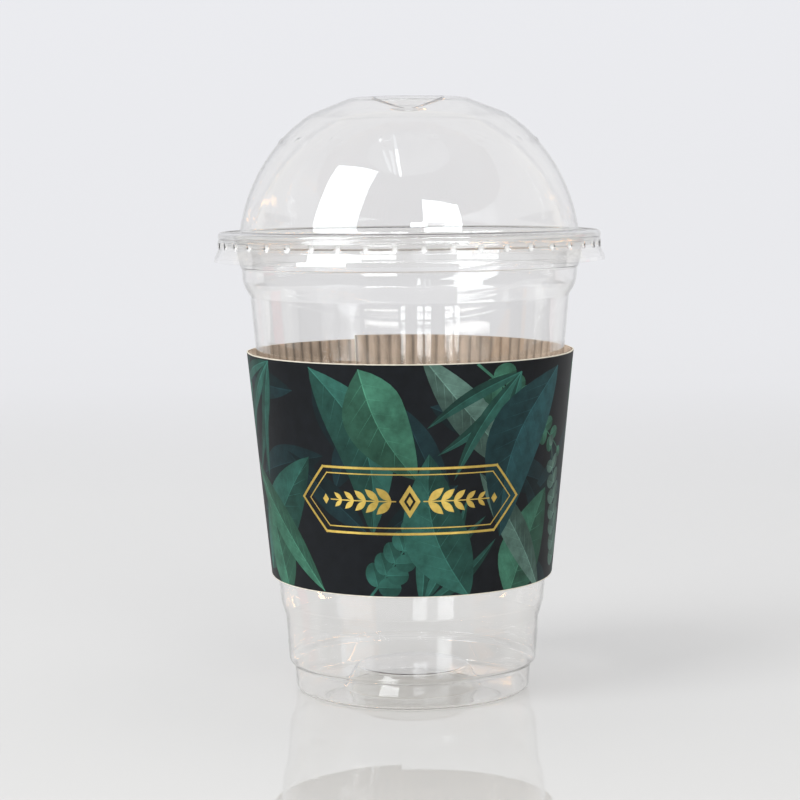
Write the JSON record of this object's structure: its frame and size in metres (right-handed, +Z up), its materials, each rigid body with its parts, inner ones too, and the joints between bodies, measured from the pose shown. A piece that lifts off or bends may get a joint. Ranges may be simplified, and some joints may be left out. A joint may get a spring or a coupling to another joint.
{
  "type": "clear plastic drink cup with dome lid and paper sleeve",
  "caption": "Clear tapered drink cup with a rolled rim, a dome lid with a cross-cut straw opening, and a corrugated paper sleeve round its middle.",
  "frame": {"origin": "centre of the base, on the plane that the cup stands on", "axes": "+Z up along the cup's axis, -Y towards the viewer, the front of the sleeve's print"},
  "size_m": [0.102, 0.102, 0.155],
  "materials": {
    "cup": "clear glossy thermoformed plastic",
    "dome_lid": "clear glossy thermoformed plastic",
    "sleeve": "satin printed corrugated board, brown inside"
  },
  "bodies": {
    "cup": {"cup": "cup"},
    "lid": {"dome_lid": "dome_lid"},
    "sleeve": {"sleeve": "sleeve"}
  },
  "joints": [
    {"name": "lid_lift", "type": "slide", "parent": "cup", "child": "lid", "axis": [0, 0, 1], "range_m": [0, 0.06]},
    {"name": "sleeve_slide", "type": "slide", "parent": "cup", "child": "sleeve", "axis": [0, 0, -1], "range_m": [0, 0.029]}
  ]
}
